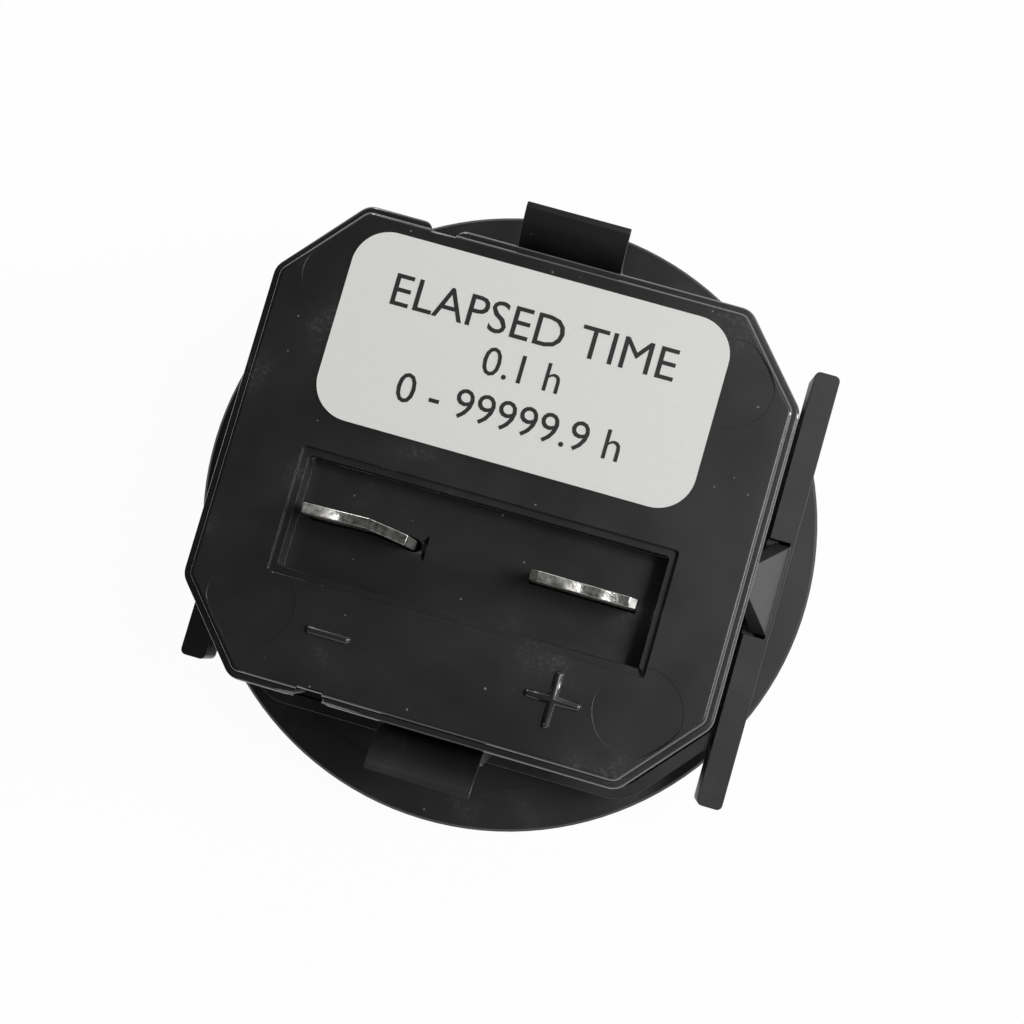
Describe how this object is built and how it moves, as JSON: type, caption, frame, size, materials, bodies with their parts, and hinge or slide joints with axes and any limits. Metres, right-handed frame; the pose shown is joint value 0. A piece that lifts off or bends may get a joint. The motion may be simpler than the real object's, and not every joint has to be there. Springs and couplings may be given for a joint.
{
  "type": "panel hour meter",
  "caption": "Round panel hour meter with an octagonal case, a rear pocket with blade terminals, a drum counter with its motor train, and a mounting bracket that slides on from the rear.",
  "frame": {"origin": "centre of the bounding box on its lowest plane, the front rim of the bezel", "axes": "+Z along the meter's axis towards its rear, +Y up on the panel, the meter lies on its bezel"},
  "size_m": [0.058, 0.058, 0.037],
  "materials": {
    "case_abs": "fine satin",
    "cover_abs": "satin",
    "label_paper": "matte",
    "tinned_blade": "tinned, scuffed",
    "bracket_nylon": "satin",
    "clear_acrylic": "clear",
    "dial_black": "matte black",
    "steel": "bright",
    "natural_acetal": "natural",
    "drum_white": "matte",
    "drum_black": "matte",
    "brass": "cut",
    "ferrite": "sintered",
    "copper_wire": "enamelled",
    "board_laminate": "solder mask",
    "chip_epoxy": "matte",
    "sleeve_blue": "gloss",
    "resistor_body": "lacquered"
  },
  "bodies": {
    "case": {"front_case": "case_abs", "rear_cover": "cover_abs", "label": "label_paper", "terminal_positive": "tinned_blade", "terminal_negative": "tinned_blade", "lens": "clear_acrylic", "dial_plate": "dial_black", "dial_screw_left": "steel", "dial_screw_right": "steel", "movement_frame": "natural_acetal", "drum_shaft": "steel", "pinion_shaft": "steel", "stud_1": "steel", "stud_2": "steel", "stator": "steel", "coil_former": "natural_acetal", "winding": "copper_wire", "train_bridge": "brass", "circuit_board": "board_laminate", "board_screw_1": "steel", "board_screw_2": "steel", "driver_chip": "chip_epoxy", "crystal": "steel", "capacitor": "sleeve_blue", "resistor": "resistor_body"},
    "bracket": {"bracket": "bracket_nylon"},
    "rotor": {"motor_rotor": "ferrite"},
    "first_wheel": {"wheel_1": "natural_acetal"},
    "second_wheel": {"wheel_2": "brass"},
    "third_wheel": {"wheel_3": "brass", "drive_pinion": "brass"},
    "drum_tenths_body": {"drum_tenths": "drum_white"},
    "drum_units_body": {"drum_units": "drum_black"},
    "drum_tens_body": {"drum_tens": "drum_black"},
    "drum_hundreds_body": {"drum_hundreds": "drum_black"},
    "drum_thousands_body": {"drum_thousands": "drum_black"},
    "drum_ten_thousands_body": {"drum_ten_thousands": "drum_black"},
    "carry_pinion_1_body": {"carry_pinion_1": "natural_acetal"},
    "carry_pinion_2_body": {"carry_pinion_2": "natural_acetal"},
    "carry_pinion_3_body": {"carry_pinion_3": "natural_acetal"},
    "carry_pinion_4_body": {"carry_pinion_4": "natural_acetal"},
    "carry_pinion_5_body": {"carry_pinion_5": "natural_acetal"}
  },
  "joints": [
    {"name": "bracket_slide", "type": "slide", "parent": "case", "child": "bracket", "axis": [0, 0, 1], "range_m": [-0.0008, 0.028]},
    {"name": "rotor_spin", "type": "hinge", "parent": "case", "child": "rotor", "pos_m": [-0.0165, 0.00773, 0.01484], "axis": [1, 0, 0], "continuous": true},
    {"name": "first_wheel_spin", "type": "hinge", "parent": "case", "child": "first_wheel", "pos_m": [-0.0168, 0.00227, 0.02135], "axis": [1, 0, 0], "continuous": true},
    {"name": "second_wheel_spin", "type": "hinge", "parent": "case", "child": "second_wheel", "pos_m": [-0.0157, -0.00462, 0.02256], "axis": [1, 0, 0], "continuous": true},
    {"name": "third_wheel_spin", "type": "hinge", "parent": "case", "child": "third_wheel", "pos_m": [-0.0146, -0.00306, 0.0137], "axis": [1, 0, 0], "continuous": true},
    {"name": "drum_tenths_spin", "type": "hinge", "parent": "case", "child": "drum_tenths_body", "pos_m": [-0.01, 0.003, 0.0102], "axis": [1, 0, 0], "continuous": true},
    {"name": "drum_units_spin", "type": "hinge", "parent": "case", "child": "drum_units_body", "pos_m": [-0.006, 0.003, 0.0102], "axis": [1, 0, 0], "continuous": true},
    {"name": "drum_tens_spin", "type": "hinge", "parent": "case", "child": "drum_tens_body", "pos_m": [-0.002, 0.003, 0.0102], "axis": [1, 0, 0], "continuous": true},
    {"name": "drum_hundreds_spin", "type": "hinge", "parent": "case", "child": "drum_hundreds_body", "pos_m": [0.002, 0.003, 0.0102], "axis": [1, 0, 0], "continuous": true},
    {"name": "drum_thousands_spin", "type": "hinge", "parent": "case", "child": "drum_thousands_body", "pos_m": [0.006, 0.003, 0.0102], "axis": [1, 0, 0], "continuous": true},
    {"name": "drum_ten_thousands_spin", "type": "hinge", "parent": "case", "child": "drum_ten_thousands_body", "pos_m": [0.01, 0.003, 0.0102], "axis": [1, 0, 0], "continuous": true},
    {"name": "carry_pinion_1_spin", "type": "hinge", "parent": "case", "child": "carry_pinion_1_body", "pos_m": [-0.008, 0.003, 0.0172], "axis": [1, 0, 0], "continuous": true},
    {"name": "carry_pinion_2_spin", "type": "hinge", "parent": "case", "child": "carry_pinion_2_body", "pos_m": [-0.004, 0.003, 0.0172], "axis": [1, 0, 0], "continuous": true},
    {"name": "carry_pinion_3_spin", "type": "hinge", "parent": "case", "child": "carry_pinion_3_body", "pos_m": [0, 0.003, 0.0172], "axis": [1, 0, 0], "continuous": true},
    {"name": "carry_pinion_4_spin", "type": "hinge", "parent": "case", "child": "carry_pinion_4_body", "pos_m": [0.004, 0.003, 0.0172], "axis": [1, 0, 0], "continuous": true},
    {"name": "carry_pinion_5_spin", "type": "hinge", "parent": "case", "child": "carry_pinion_5_body", "pos_m": [0.008, 0.003, 0.0172], "axis": [1, 0, 0], "continuous": true}
  ],
  "couplings": [
    {"joint": "first_wheel_spin", "follows": "rotor_spin", "ratio": -0.13333},
    {"joint": "second_wheel_spin", "follows": "rotor_spin", "ratio": 0.022222},
    {"joint": "third_wheel_spin", "follows": "rotor_spin", "ratio": -0.0027778},
    {"joint": "drum_tenths_spin", "follows": "rotor_spin", "ratio": 0.0011111},
    {"joint": "carry_pinion_1_spin", "follows": "drum_units_spin", "ratio": -2.5},
    {"joint": "carry_pinion_2_spin", "follows": "drum_tens_spin", "ratio": -2.5},
    {"joint": "carry_pinion_3_spin", "follows": "drum_hundreds_spin", "ratio": -2.5},
    {"joint": "carry_pinion_4_spin", "follows": "drum_thousands_spin", "ratio": -2.5},
    {"joint": "carry_pinion_5_spin", "follows": "drum_ten_thousands_spin", "ratio": -2.5}
  ]
}
